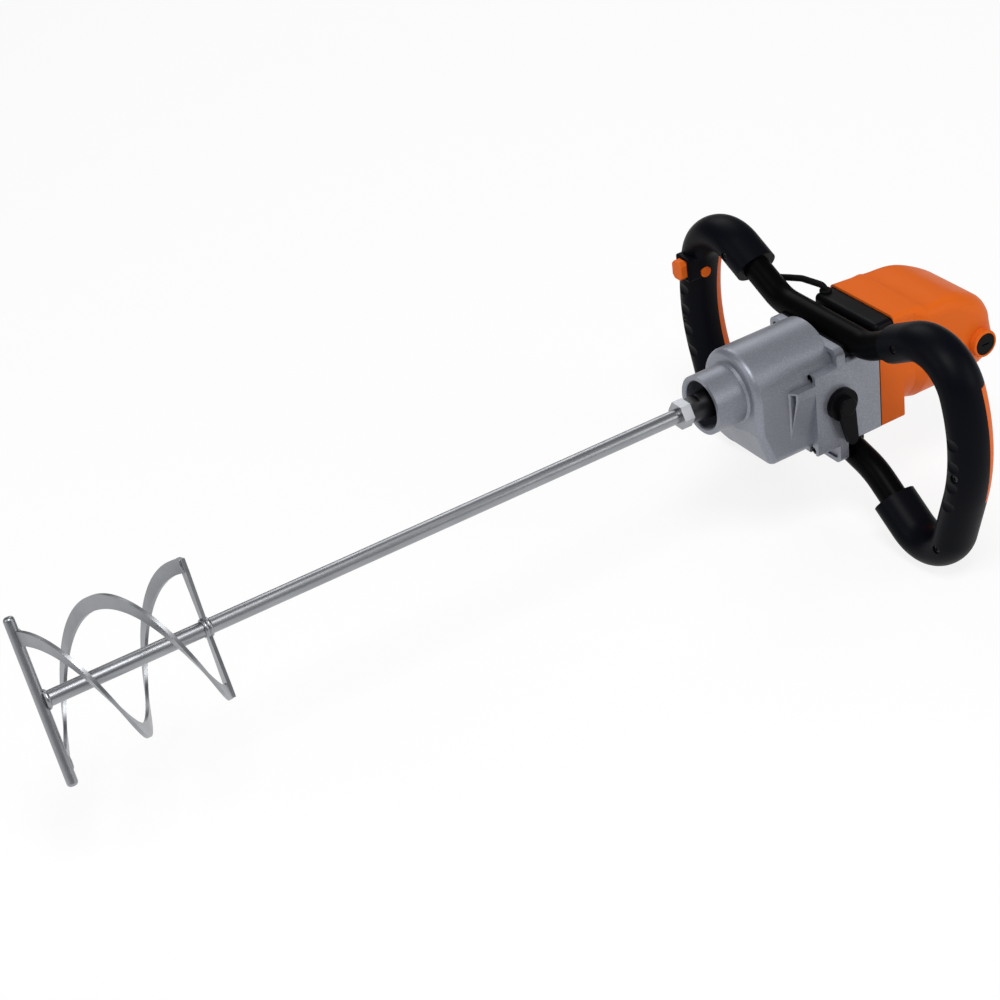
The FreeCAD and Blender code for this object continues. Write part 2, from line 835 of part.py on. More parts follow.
def bearing(label, inner, outer, start, thick, side="0", rise="0"):
    lip = "(" + outer + " - (" + inner + ")) * bearing_lip_share"
    low = "(" + inner + ") + " + lip
    high = "(" + outer + ") - " + lip
    body = turned(label, [
        ("0", inner), ("0", low), ("bearing_groove", low), ("bearing_groove", high), ("0", high),
        ("0", outer),
        (thick, outer), (thick, high), (thick + " - bearing_groove", high),
        (thick + " - bearing_groove", low),
        (thick, low), (thick, inner)])
    return place(body, start, side, rise)


def make_bearings():
    seal = turned("spindle_seal", [
        ("0", "seal_land + slip"), ("0", "seal_radius"), ("seal_thick", "seal_radius"),
        ("seal_thick", "seal_land + seal_step"), ("seal_step", "seal_land + seal_step"),
        ("seal_step", "seal_land + slip")])
    node("spindle_seal", place(seal, "seal_start"))
    node("spindle_front_bearing", bearing("spindle_front_bearing", "spindle_seat + slip",
                                          "front_bearing_radius",
                                          "front_bearing_start", "front_bearing_thick"))
    node("spindle_rear_bearing", bearing("spindle_rear_bearing", "spindle_end + slip",
                                         "rear_bearing_radius",
                                         "rear_bearing_start", "rear_bearing_thick"))
    pair = [bearing("counter_bearing_" + str(k), "counter_seat + slip", "counter_bearing_radius", start,
                    "counter_bearing_thick", "counter_side", "counter_rise")
            for k, start in enumerate(("counter_front_start", "rear_bearing_start"))]
    node("countershaft_bearings", join("countershaft_bearings", *pair))
    pair = [bearing("motor_bearing_front", "front_seat + slip", "motor_bearing_radius",
                    "motor_front_bearing",
                    "motor_bearing_thick", "0", "-motor_drop"),
            bearing("motor_bearing_rear", "rear_seat + slip", "motor_rear_radius", "motor_rear_bearing",
                    "motor_rear_thick", "0", "-motor_drop")]
    node("armature_bearings", join("armature_bearings", *pair))


# Spindle, gears and countershaft
def make_spindle():
    body = turned("spindle_turned", [
        ("-nose_reach", "thread_radius"), ("-nose_reach", "nose_radius"),
        ("nose_taper - nose_reach", "seal_land"),
        ("front_bearing_start", "seal_land"), ("front_bearing_start", "spindle_seat"),
        ("low_end", "spindle_seat"),
        ("low_end", "spline_root"), ("spline_end", "spline_root"), ("spline_end", "spindle_rear"),
        ("rear_bearing_start", "spindle_rear"), ("rear_bearing_start", "spindle_end"),
        ("rear_bearing_end + clip_room", "spindle_end"), ("rear_bearing_end + clip_room", "0"),
        ("thread_depth - nose_reach", "0"), ("thread_depth - nose_reach", "thread_radius")])
    splines = spread("spindle_splines", "spline_width / 2", "spline_root / 2", "spline_tip",
                     "spline_end - low_end",
                     "spline_count")
    place(splines, "low_end")
    body = join("spindle_splined", body, splines)
    flats = [block("nose_flat_" + str(k), ("-nose_reach - overrun", "nose_flat_length - nose_reach"),
                   ("-seal_land", "seal_land"), span)
             for k, span in enumerate((("nose_flats / 2", "seal_land"), ("-seal_land", "-nose_flats / 2")))]
    node("spindle", cut("spindle", body, *flats))
    clip = turned("spindle_circlip", [
        ("0", "spindle_end"), ("0", "spindle_end + clip_width"), ("clip_thick", "spindle_end + clip_width"),
        ("clip_thick", "spindle_end")])
    node("spindle_circlip", place(clip, "rear_bearing_end + slip"))


def mesh_angle():
    return math.degrees(math.atan2(size("counter_rise"), size("counter_side")))


def motor_angle():
    return math.degrees(math.atan2(size("counter_rise") + size("motor_drop"), size("counter_side")))


def facing(angle, teeth):
    return angle + 180 + 180 / size(teeth)


def make_gears():
    aim = mesh_angle()
    low = gear("low_gear", "low_teeth", "coarse_module", "coarse_face", "low_start", "0", "0", aim,
               "spindle_seat")
    dogs = spread("low_dogs", "dog_width / 2", "dog_inner", "dog_outer", "dog_depth", "dog_count")
    place(dogs, "low_end")
    node("low_gear", join("low_gear", low, dogs))
    high = gear("high_gear", "high_teeth", "coarse_module", "high_face", "high_start", "0", "0", aim,
                "spindle_rear + slip")
    dogs = spread("high_dogs", "dog_width / 2", "dog_inner", "dog_outer", "dog_depth - loose", "dog_count")
    place(dogs, "high_start - dog_depth + loose")
    node("high_gear", join("high_gear", high, dogs))
    spot = ("counter_side", "counter_rise")
    node("low_pinion", gear("low_pinion", "low_pinion_teeth", "coarse_module", "coarse_face", "low_start",
                            *spot,
                            facing(aim, "low_pinion_teeth"), "counter_radius"))
    node("high_pinion", gear("high_pinion", "high_pinion_teeth", "coarse_module", "high_face", "high_start",
                             *spot,
                             facing(aim, "high_pinion_teeth"), "counter_radius"))
    aim = motor_angle()
    node("armature_pinion", gear("armature_pinion", "armature_teeth", "fine_module", "pinion_face",
                                 "pinion_start",
                                 "0", "-motor_drop", aim))
    node("reduction_gear", gear("reduction_gear", "reduction_teeth", "fine_module", "fine_face",
                                "reduction_start",
                                *spot, facing(aim, "reduction_teeth"), "counter_radius"))
    shaft = turned("countershaft", [
        ("counter_front_start", "0"), ("counter_front_start", "counter_seat"),
        ("counter_front_end", "counter_seat"),
        ("counter_front_end", "counter_radius"), ("chamber_end", "counter_radius"),
        ("chamber_end", "counter_seat"),
        ("counter_rear_end", "counter_seat"), ("counter_rear_end", "0")])
    node("countershaft", place(shaft, "0", *spot))


def make_dog_sleeve():
    groove = "sleeve_start + sleeve_groove_start"
    body = turned("sleeve_turned", [
        ("sleeve_start", "spline_root / 2"), ("sleeve_start", "dog_outer"), (groove, "dog_outer"),
        (groove, "sleeve_groove_radius"), (groove + " + sleeve_groove", "sleeve_groove_radius"),
        (groove + " + sleeve_groove", "dog_outer"), ("sleeve_end", "dog_outer"),
        ("sleeve_end", "spline_root / 2")])
    front = spread("sleeve_front_dogs", "dog_width / 2", "dog_inner", "dog_outer", "dog_depth", "dog_count")
    front.Placement.Rotation = FreeCAD.Rotation(Vector(1, 0, 0), 180 / size("dog_count"))
    place(front, "sleeve_start - dog_depth")
    rear = spread("sleeve_rear_dogs", "dog_width / 2", "dog_inner", "dog_outer", "dog_depth", "dog_count")
    place(rear, "sleeve_end")
    body = join("sleeve_solid", body, front, rear)
    hole = bar("sleeve_hole", "x", "spline_root + spline_play",
               ("sleeve_start - overrun", "sleeve_end + overrun"))
    keys = spread("sleeve_keys", "(spline_width / 2 + spline_play)", "spline_root / 2",
                  "spline_tip + spline_play",
                  "sleeve_body + 2 * overrun", "spline_count")
    place(keys, "sleeve_start - overrun")
    node("dog_sleeve", cut("dog_sleeve", body, hole, keys))


def make_shift_fork():
    middle = "sleeve_start + sleeve_groove_start + sleeve_groove / 2"
    span = (middle + " - fork_thick / 2", middle + " + fork_thick / 2")
    ring = bar("fork_ring", "x", "fork_outer", span)
    hub = bar("fork_hub", "x", "fork_hub", (middle + " - fork_hub_length / 2",
                                            middle + " + fork_hub_length / 2"),
              "-rail_side", "-rail_drop")
    arm = doc.addObject("Part::Box", "fork_arm")
    arm.setExpression("Length", bound("fork_thick"))
    arm.setExpression("Width", bound("sqrt(rail_side^2 + rail_drop^2)"))
    arm.setExpression("Height", bound("fork_arm"))
    aim = FreeCAD.Rotation(Vector(1, 0, 0),
                           math.degrees(math.atan2(-size("rail_drop"), -size("rail_side"))))
    arm.Placement = FreeCAD.Placement(Vector(0, 0, 0), aim)
    shift = aim.multVec(Vector(0, 0, -size("fork_arm") / 2))
    arm.Placement.Base = Vector(size("sleeve_start") + size("sleeve_groove_start") + size("sleeve_groove") / 2
                                - size("fork_thick") / 2, shift.y, shift.z)
    tail = block("fork_tail", (middle, "tail_end"), ("-tail_side", "-tail_side + tail_thick"),
                 ("-tail_low", "-tail_high"))
    solid = join("fork_solid", ring, hub, arm, tail)
    gap = bar("fork_gap", "x", "fork_inner", ("sleeve_start", "sleeve_end"))
    mouth = block("fork_mouth", ("sleeve_start", "sleeve_end"), ("-fork_inner", "fork_outer + overrun"),
                  ("0", "fork_outer + overrun"))
    side = block("fork_side", ("sleeve_start", "sleeve_end"), ("0", "fork_outer + overrun"),
                 ("-fork_inner", "fork_outer + overrun"))
    hole = bar("fork_hole", "x", "rail_radius + slip", ("low_end", "high_end"), "-rail_side", "-rail_drop")
    pin = "selector_x - pin_throw * sin(pin_swing)"
    slot = block("fork_slot", (pin + " - pin_radius - pin_play", pin + " + pin_radius + pin_play"),
                 ("-tail_side - overrun", "-tail_side + tail_thick + overrun"), ("-slot_low", "-slot_high"))
    node("shift_fork", cut("shift_fork", solid, gap, mouth, side, hole, slot))
    rail = bar("fork_rail", "x", "rail_radius", ("counter_front_end - rail_hold",
                                                 "chamber_end + rail_hold"),
               "-rail_side", "-rail_drop")
    node("fork_rail", rail)


def make_selector():
    flange = "-ear_cavity_half + selector_play"
    shaft = bar("selector_stem", "y", "selector_shaft",
                ("-ear_half - knob_base", "-ear_cavity_half + selector_flange_thick"),
                "selector_x", "-selector_drop")
    disc = bar("selector_disc", "y", "selector_flange", (flange, flange + " + selector_flange_thick"),
               "selector_x", "-selector_drop")
    pin = bar("selector_pin", "y", "pin_radius", (flange, "-tail_side + tail_thick - loose"),
              "selector_x - pin_throw * sin(pin_swing)", "-selector_drop - pin_throw * cos(pin_swing)")
    node("selector_shaft", join("selector_shaft", shaft, disc, pin))
    base = bar("knob_base", "y", "knob_radius", ("-ear_half - knob_base", "-ear_half - selector_play"),
               "selector_x", "-selector_drop")
    hub = bar("knob_hub", "y", "lever_root", ("-knob_face", "-ear_half - knob_base + overrun / 2"),
              "selector_x", "-selector_drop")
    hub = rounded("knob_hub_edge", hub, "knob_edge",
                  lambda e: e.CenterOfMass.y < -size("knob_face") + near_zero)
    tip = ("selector_x + (lever_length - lever_tip) * sin(lever_angle)",
           "-selector_drop - (lever_length - lever_tip) * cos(lever_angle)")
    end = bar("knob_tip", "y", "lever_tip", ("-knob_face + lever_lift",
                                             "-ear_half - knob_base + overrun / 2"), *tip)
    points = [("selector_x - lever_root * cos(lever_angle)",
               "-selector_drop - lever_root * sin(lever_angle)"),
              (tip[0] + " - lever_tip * cos(lever_angle)", tip[1] + " - lever_tip * sin(lever_angle)"),
              (tip[0] + " + lever_tip * cos(lever_angle)", tip[1] + " + lever_tip * sin(lever_angle)"),
              ("selector_x + lever_root * cos(lever_angle)",
               "-selector_drop + lever_root * sin(lever_angle)")]
    lever = padded("knob_lever", "XZ", points,
                   "knob_face - lever_lift - ear_half - knob_base + overrun / 2",
                   "ear_half + knob_base - overrun / 2")
    solid = join("knob_solid", base, hub, end, lever)
    hole = bar("knob_hole", "y", "selector_shaft", ("-ear_half - knob_base", "-ear_half + overrun"),
               "selector_x", "-selector_drop")
    node("selector_knob", cut("selector_knob", solid, hole))


# Paddle
def make_paddle():
    rod = bar("rod_solid", "x", "rod_radius", ("-paddle_reach + rod_stop",
                                               "thread_depth - nose_reach - overrun"))
    cross = bar("crossbar_solid", "y", "crossbar_radius", ("-crossbar_half", "crossbar_half"))
    turn = FreeCAD.Rotation(Vector(1, 0, 0), size("paddle_angle"))
    doc.recompute()
    cross = rounded("crossbar", cross, "crossbar_edge", lambda e: len(e.Vertexes) == 1)
    cross.Placement.Rotation = turn
    place(cross, "-paddle_reach")
    node("crossbar", cross)
    node("paddle_rod", cut("paddle_rod", rod, cross))
    half = "nut_flats / 2"
    corner = "nut_flats / sqrt(3)"
    points = [(corner, "0"), (corner + " / 2", half), ("-" + corner + " / 2", half), ("-" + corner, "0"),
              ("-" + corner + " / 2", "-" + half), (corner + " / 2", "-" + half)]
    nut = padded("nut_hex", "YZ", points, "nut_thick", "-nut_end")
    hole = bar("nut_hole", "x", "rod_radius", ("-nut_end - overrun", "-nose_reach + overrun"))
    node("paddle_nut", cut("paddle_nut", nut, hole))
    points = [("-blade_outer", "-spoke_half"), ("-blade_inner", "-spoke_half"), ("0", "-spoke_waist"),
              ("blade_inner", "-spoke_half"), ("blade_outer", "-spoke_half"), ("blade_outer", "spoke_half"),
              ("blade_inner", "spoke_half"), ("0", "spoke_waist"), ("-blade_inner", "spoke_half"),
              ("-blade_outer", "spoke_half")]
    strip = padded("spoke_strip", "YZ", points, "blade_thick", "-blade_thick / 2")
    strip.Placement.Rotation = turn
    place(strip, "-paddle_reach + blade_length")
    spoke = node("rear_spoke", cut("rear_spoke", strip, rod))
    doc.recompute()
    for name, start in (("helix_blade_a", 0), ("helix_blade_b", 180)):
        node(name, shaped(name, blade_shape(start).cut(cross.Shape).cut(spoke.Shape)))


def blade_shape(start):
    length = size("blade_length")
    inner = size("blade_inner")
    half = size("blade_thick") / 2
    spine = Part.makeHelix(length, length, size("blade_outer"))
    corners = [Vector(inner, 0, -half), Vector(size("blade_outer"), 0, -half),
               Vector(size("blade_outer"), 0, half),
               Vector(inner, 0, half)]
    section = Part.makePolygon(corners + corners[:1])
    solid = Part.Wire(spine.Edges).makePipeShell([section], True, True)
    solid.rotate(Vector(0, 0, 0), Vector(0, 1, 0), 90)
    solid.rotate(Vector(0, 0, 0), Vector(1, 0, 0), size("paddle_angle") + 90 + start)
    solid.translate(Vector(-size("paddle_reach"), 0, 0))
    return solid


# Motor
def shell_section(station):
    parts = ("x", "top", "half", "corner", "low")
    x, top, half, corner, side = [size("shell_" + part + "_" + station) for part in parts]
    centre = -size("motor_drop")
    lean = math.sqrt(0.5)
    spots = [Vector(0, 0, centre - side), Vector(0, side, centre), Vector(0, half, top - corner),
             Vector(0, half - corner, top), Vector(0, corner - half, top),
             Vector(0, -half, top - corner), Vector(0, -side, centre)]
    bends = [Vector(0, lean * side, centre - lean * side), Vector(0, -lean * side, centre - lean * side)]
    knuckle = corner * (1 - lean)
    tops = [Vector(0, half - knuckle, top - knuckle), Vector(0, knuckle - half, top - knuckle)]
    edges = [Part.Arc(spots[0], bends[0], spots[1]).toShape(), Part.makeLine(spots[1], spots[2]),
             Part.Arc(spots[2], tops[0], spots[3]).toShape(), Part.makeLine(spots[3], spots[4]),
             Part.Arc(spots[4], tops[1], spots[5]).toShape(), Part.makeLine(spots[5], spots[6]),
             Part.Arc(spots[6], bends[1], spots[0]).toShape()]
    wire = Part.Wire(edges)
    wire.translate(Vector(x, 0, 0))
    return wire


def make_motor_shell():
    front_loft = Part.makeLoft([shell_section(n) for n in ("front", "neck", "flare")], True, True)
    back_loft = Part.makeLoft([shell_section(n) for n in ("flare", "mid", "brow", "crest", "slope", "fall",
                                                          "end")], True)
    crown = shaped("shell_crown", front_loft.fuse(back_loft))
    front = block("shell_front", ("motor_start", "motor_start + front_box_length"),
                  ("-front_box_half", "front_box_half"), ("-ear_drop", "deck"))
    front = rounded("shell_front_edge", front, "front_box_edge", along("x"))
    rim = "boss_face + cap_thick"
    bosses = bar("shell_bosses", "y", "boss_radius", ("-(" + rim + ")", rim), "brush_x", "-motor_drop")
    bosses = rounded("shell_boss_edge", bosses, "knob_edge", lambda e: len(e.Vertexes) == 1)
    solid = join("shell_solid", crown, front, bosses)
    tools = [
        bar("shell_bore", "x", "bore_radius", ("motor_start - overrun", "bore_end"), "0", "-motor_drop"),
        bar("shell_rear_bore", "x", "rear_bore_radius", ("motor_start", "rear_bore_end"), "0",
            "-motor_drop"),
        bar("shell_rear_seat", "x", "motor_rear_radius", ("motor_start", "motor_rear_end"), "0",
            "-motor_drop"),
        bar("shell_brush_bore", "y", "cap_plug", inf_span("boss_face"), "brush_x", "-motor_drop"),
        bar("shell_left_rim", "y", "cap_radius + slip", ("boss_face", rim + " + overrun"), "brush_x",
            "-motor_drop"),
        bar("shell_right_rim", "y", "cap_radius + slip", ("-boss_face - cap_thick - overrun", "-boss_face"),
            "brush_x", "-motor_drop"),
    ]
    for k in range(int(size("vent_count"))):
        step = "-vent_low + " + str(k) + " * vent_step"
        tools.append(block("shell_vent_" + str(k), ("rear_bore_end - overrun", "shell_end + overrun"),
                           ("-vent_half", "vent_half"), (step, step + " + vent_high")))
    node("motor_shell", cut("motor_shell", solid, *tools))
    plate = block("seam_block", ("back_end", "motor_start"),
                  ("-front_box_half + seam_inset", "front_box_half - seam_inset"),
                  ("-ear_drop + seam_inset", "deck - seam_inset"))
    hole = bar("seam_hole", "x", "bore_radius", ("back_end - overrun", "motor_start + overrun"), "0",
               "-motor_drop")
    node("seam_plate", cut("seam_plate", plate, hole))


def inf_span(name):
    return ("-" + name + " - overrun", name + " + overrun")


def make_terminal_cover():
    body = block("cover_block", ("back_end", "shell_start"), ("-cover_half", "cover_half"),
                 ("deck", "cover_top"))
    floor = size("deck") + near_zero
    body = rounded("cover_edge", body, "cover_edge", lambda e: e.CenterOfMass.z > floor
                   and (e.CenterOfMass.x < size("shell_start") - near_zero))
    room = block("cover_room", ("back_end + cover_wall", "shell_start - cover_wall"),
                 ("-cover_half + cover_wall", "cover_half - cover_wall"),
                 ("deck - overrun", "cover_top - cover_wall"))
    entry = bar("cover_entry", "z", "lead_radius + slip",
                ("cover_top - cover_wall - overrun", "cover_top + overrun"),
                "lead_end_x", "lead_end_side")
    node("terminal_cover", cut("terminal_cover", body, room, entry))


def make_motor_inside():
    drop = "-motor_drop"
    shaft = turned("armature_shaft", [
        ("pinion_end", "0"), ("pinion_end", "shaft_radius"), ("motor_front_bearing", "shaft_radius"),
        ("motor_front_bearing", "front_seat"), ("motor_bearing_end", "front_seat"),
        ("motor_bearing_end", "core_seat"),
        ("motor_rear_bearing", "core_seat"), ("motor_rear_bearing", "rear_seat"),
        ("motor_rear_end", "rear_seat"),
        ("motor_rear_end", "0")])
    node("armature_shaft", place(shaft, "0", "0", drop))
    core = turned("core_turned", [
        ("stator_start", "core_seat"), ("stator_start", "core_radius"), ("stator_end", "core_radius"),
        ("stator_end", "core_seat")])
    slots = spread("core_slot", "core_slot_width / 2", "core_radius - core_slot_depth",
                   "core_radius + overrun",
                   "stator_end - stator_start + 2 * overrun", "core_slots")
    place(slots, "stator_start - overrun")
    core = cut("armature_core", core, slots)
    node("armature_core", place(core, "0", "0", drop))
    ends = []
    for label, start, end in (("winding_front", "stator_start - winding_overhang", "stator_start"),
                              ("winding_back", "stator_end", "stator_end + winding_overhang")):
        ends.append(turned(label, [(start, "core_seat"), (start, "winding_radius - wall"),
                                   (start + " + wall", "winding_radius"),
                                   (end + " - wall", "winding_radius"), (end, "winding_radius - wall"),
                                   (end, "core_seat")]))
    windings = join("armature_windings", *ends)
    node("armature_windings", place(windings, "0", "0", drop))
    bars = turned("commutator_turned", [
        ("commutator_start", "core_seat"), ("commutator_start", "commutator_radius"),
        ("commutator_end", "commutator_radius"), ("commutator_end", "core_seat")])
    gaps = spread("commutator_gap", "bar_gap / 2", "commutator_radius - bar_gap_depth",
                  "commutator_radius + overrun",
                  "commutator_end - commutator_start + 2 * overrun", "commutator_bars")
    place(gaps, "commutator_start - overrun")
    bars = cut("commutator", bars, gaps)
    node("commutator", place(bars, "0", "0", drop))
    disc = turned("fan_turned", [
        ("fan_start", "core_seat"), ("fan_start", "fan_radius"), ("fan_start + fan_disc", "fan_radius"),
        ("fan_start + fan_disc", "fan_hub"), ("fan_start + fan_length", "fan_hub"),
        ("fan_start + fan_length", "core_seat")])
    vanes = spread("fan_vane", "fan_blade_thick / 2", "fan_blade_inner", "fan_radius - overrun",
                   "fan_length", "fan_blades")
    place(vanes, "fan_start")
    fan = join("cooling_fan", disc, vanes)
    node("cooling_fan", place(fan, "0", "0", drop))
    baffle = turned("fan_baffle", [
        ("baffle_start", "baffle_inner"), ("baffle_start", "bore_radius"),
        ("baffle_start + baffle_thick", "bore_radius"),
        ("baffle_start + baffle_thick", "baffle_inner")])
    node("fan_baffle", place(baffle, "0", "0", drop))
    make_stator()
    make_brushes()


def make_stator():
    drop = "-motor_drop"
    ring = turned("stator_ring", [
        ("stator_start", "pole_radius"), ("stator_start", "bore_radius"), ("stator_end", "bore_radius"),
        ("stator_end", "pole_radius")])
    room = turned("stator_room", [
        ("stator_start - overrun", "pole_radius - overrun"), ("stator_start - overrun", "slot_radius"),
        ("stator_end + overrun", "slot_radius"), ("stator_end + overrun", "pole_radius - overrun")])
    poles = block("stator_poles", ("stator_start - overrun", "stator_end + overrun"),
                  ("-pole_half", "pole_half"),
                  ("-bore_radius", "bore_radius"))
    slots = cut("stator_slots", room, poles)
    core = cut("stator_core", ring, slots)
    node("stator_core", place(core, "0", "0", drop))
    ends = []
    for label, start, end in (("coil_front", "stator_start - coil_overhang", "stator_start"),
                              ("coil_back", "stator_end", "stator_end + coil_overhang")):
        ends.append(turned(label, [(start, "coil_inner"), (start, "coil_outer"), (end, "coil_outer"),
                                   (end, "coil_inner")]))
    coils = join("field_coils", *ends)
    node("field_coils", place(coils, "0", "0", drop))


def make_brushes():
    spot = ("brush_x", "-motor_drop")
    holders, brushes, caps = [], [], []
    for side in ("left", "right"):
        def span(low, high):
            return (low, high) if side == "left" else ("-(" + high + ")", "-(" + low + ")")
        tube = bar("holder_tube_" + side, "y", "cap_plug",
                   span("holder_inner", "boss_face - cap_plug_length"), *spot)
        slot = block("holder_slot_" + side, ("brush_x - brush_half", "brush_x + brush_half"),
                     span("holder_inner - overrun", "boss_face"),
                     ("-motor_drop - brush_half", "-motor_drop + brush_half"))
        holders.append(cut("holder_" + side, tube, slot))
        reach = span("commutator_radius + slip", "boss_face - cap_plug_length")
        brushes.append(block("brush_" + side, ("brush_x - brush_half", "brush_x + brush_half"), reach,
                             ("-motor_drop - brush_half", "-motor_drop + brush_half")))
        head = bar("cap_head_" + side, "y", "cap_radius", span("boss_face", "boss_face + cap_thick"), *spot)
        head = rounded("cap_edge_" + side, head, "knob_edge",
                       lambda e: len(e.Vertexes) == 1
                       and abs(e.CenterOfMass.y) > size("boss_face") + near_zero)
        plug = bar("cap_plug_" + side, "y", "cap_plug",
                   span("boss_face - cap_plug_length", "boss_face + overrun / 2"), *spot)
        groove = block("cap_groove_" + side, ("brush_x - cap_plug / 2", "brush_x + cap_plug / 2"),
                       span("boss_face + cap_thick / 2", "boss_face + cap_thick + overrun"),
                       ("-motor_drop - cap_slot / 2", "-motor_drop + cap_slot / 2"))
        caps.append(cut("cap_" + side, join("cap_solid_" + side, head, plug), groove))
    node("brush_holders", join("brush_holders", *holders))
    node("carbon_brushes", join("carbon_brushes", *brushes))
    node("brush_caps", join("brush_caps", *caps))


# Handle frame
def bent_wire(points, radii):
    edges = []
    last = points[0]
    for k, radius in enumerate(radii, 1):
        back = (points[k - 1] - points[k]).normalize()
        ahead = (points[k + 1] - points[k]).normalize()
        half = back.getAngle(ahead) / 2
        start = points[k] + back * (radius / math.tan(half))
        end = points[k] + ahead * (radius / math.tan(half))
        crest = points[k] + (back + ahead).normalize() * (radius / math.sin(half) - radius)
        edges += [Part.makeLine(last, start), Part.Arc(start, crest, end).toShape()]
        last = end
    edges.append(Part.makeLine(last, points[-1]))
    return Part.Wire(edges)


def spot(side, rise):
    return Vector(size("handle_x"), size(side), size(rise))


def between(first, second, side):
    share = (size(side) - first.y) / (second.y - first.y)
    return first + (second - first) * share


def mirrored(points):
    return [Vector(p.x, -p.y, p.z) for p in reversed(points)]


def sweep_round(wire, across, along_x):
    start = wire.OrderedEdges[0]
    origin = start.valueAt(start.FirstParameter)
    run = start.tangentAt(start.FirstParameter)
    normal = run.cross(Vector(1, 0, 0)).normalize()
    if abs(across - along_x) < near_zero:
        section = Part.Circle(origin, run, across).toShape()
    else:
        section = Part.Ellipse(origin + Vector(along_x, 0, 0), origin + normal * across, origin).toShape()
    return wire.makePipeShell([Part.Wire([section])], True, False)


def tube_wires():
    top = spot("top_side", "top_rise")
    arm = spot("arm_side", "bar_rise")
    half = [arm, between(arm, top, "tube_end_side")]
    upper = bent_wire(mirrored(half) + half, [size("arm_bend")] * 2)
    foot = spot("foot_side", "foot_rise")
    knee = spot("low_arm_side", "low_arm_rise")
    half = [spot("low_bar_side", "low_bar_rise"), knee, between(knee, foot, "low_tube_end_side")]
    bends = [size("low_bar_bend"), size("low_arm_bend")]
    lower = bent_wire(mirrored(half) + half, bends[::-1] + bends)
    return upper, lower


def grip_wire(first_side, last_side):
    arm = spot("arm_side", "bar_rise")
    top = spot("top_side", "top_rise")
    belly = spot("belly_side", "belly_rise")
    foot = spot("foot_side", "foot_rise")
    knee = spot("low_arm_side", "low_arm_rise")
    points = [between(arm, top, first_side), top, belly, foot, between(knee, foot, last_side)]
    return bent_wire(points, [size("top_bend"), size("belly_bend"), size("foot_bend")])


def make_tubes():
    outer = size("tube_radius")
    inner = outer - size("tube_wall")
    solids = {}
    for name, wire in zip(("upper_tube", "lower_tube"), tube_wires()):
        solids[name] = shaped(name + "_solid", sweep_round(wire, outer, outer))
        hollow = shaped(name + "_hollow", sweep_round(wire, inner, inner))
        tube = cut(name + "_pipe", solids[name], hollow)
        node(name, cut(name, tube, *tube_holes(name)))
    return solids


def tube_holes(name):
    holes = []
    for k, sign in enumerate(("", "-")):
        label = name + "_" + str(k)
        if name == "upper_tube":
            holes.append(bar(label + "_through", "z", "bar_screw_radius + slip",
                             ("deck - overrun", "bar_rise"),
                             "handle_x", sign + "bar_screw_side"))
        else:
            low = "low_bar_rise - tube_radius - overrun"
            side = sign + "low_bar_screw_side"
            holes.append(bar(label + "_through", "z", "bar_screw_radius + slip", (low, "-ear_drop"),
                             "handle_x", side))
            holes.append(bar(label + "_seat", "z", "bar_screw_head + loose",
                             (low, "low_bar_rise - tube_radius + bar_screw_sink"), "handle_x", side))
    return holes


def make_saddles(solids):
    span = ("back_start + saddle_inset", "back_start + saddle_inset + saddle_length")
    high = block("upper_saddle_block", span, ("-saddle_half", "saddle_half"), ("deck", "bar_rise"))
    gap = block("upper_saddle_gap", ("handle_x - saddle_gap", "handle_x + saddle_gap"),
                ("-saddle_half - overrun", "saddle_half + overrun"), ("deck - overrun", "bar_rise"))
    node("upper_saddle", cut("upper_saddle", high, solids["upper_tube"], gap))
    low = block("lower_saddle_block", span, ("-low_saddle_half", "low_saddle_half"),
                ("low_bar_rise", "-ear_drop"))
    holes = [bar("lower_saddle_hole_" + str(k), "z", "bar_screw_radius + slip",
                 ("low_bar_rise", "-ear_drop + overrun"),
                 "handle_x", side) for k, side in enumerate(("low_bar_screw_side", "-low_bar_screw_side"))]
    node("lower_saddle", cut("lower_saddle", low, solids["lower_tube"], *holes))
    screws = []
    for sign, place_name in (("", "left"), ("-", "right")):
        seat = "deck + tube_wall + overrun / 2"
        screws.append(bar_screw("bar_stud_" + place_name, (seat, seat + " + bar_nut_thick"),
                                ("deck - bar_screw_bite", seat + " + bar_screw_edge"),
                                sign + "bar_screw_side", 1))
        seat = "low_bar_rise - tube_radius + bar_screw_sink"
        screws.append(bar_screw("low_screw_" + place_name, (seat + " - bar_screw_head_thick", seat),
                                (seat + " - bar_screw_edge", "-ear_drop + overrun"),
                                sign + "low_bar_screw_side", -1))
    node("bar_screws", join("bar_screws", *screws))


def bar_screw(label, head_span, shank_span, side, up):
    head = bar(label + "_head", "z", "bar_screw_head", head_span, "handle_x", side)
    doc.recompute()
    middle = head.Shape.CenterOfMass.z
    head = rounded(label + "_dome", head, "bar_screw_edge", lambda e: len(e.Vertexes) == 1
                   and (e.CenterOfMass.z - middle) * up > near_zero)
    shank = bar(label + "_shank", "z", "bar_screw_radius", shank_span, "handle_x", side)
    return join(label, head, shank)


def flipped(label, item):
    mirror = doc.addObject("Part::Mirroring", label)
    mirror.Source = item
    mirror.Normal = Vector(0, 1, 0)
    return mirror


def grip_screw_spots():
    return [("grip_screw_a_side", "grip_screw_a_rise"), ("grip_screw_b_side", "grip_screw_b_rise"),
            ("grip_screw_c_side", "grip_screw_c_rise")]


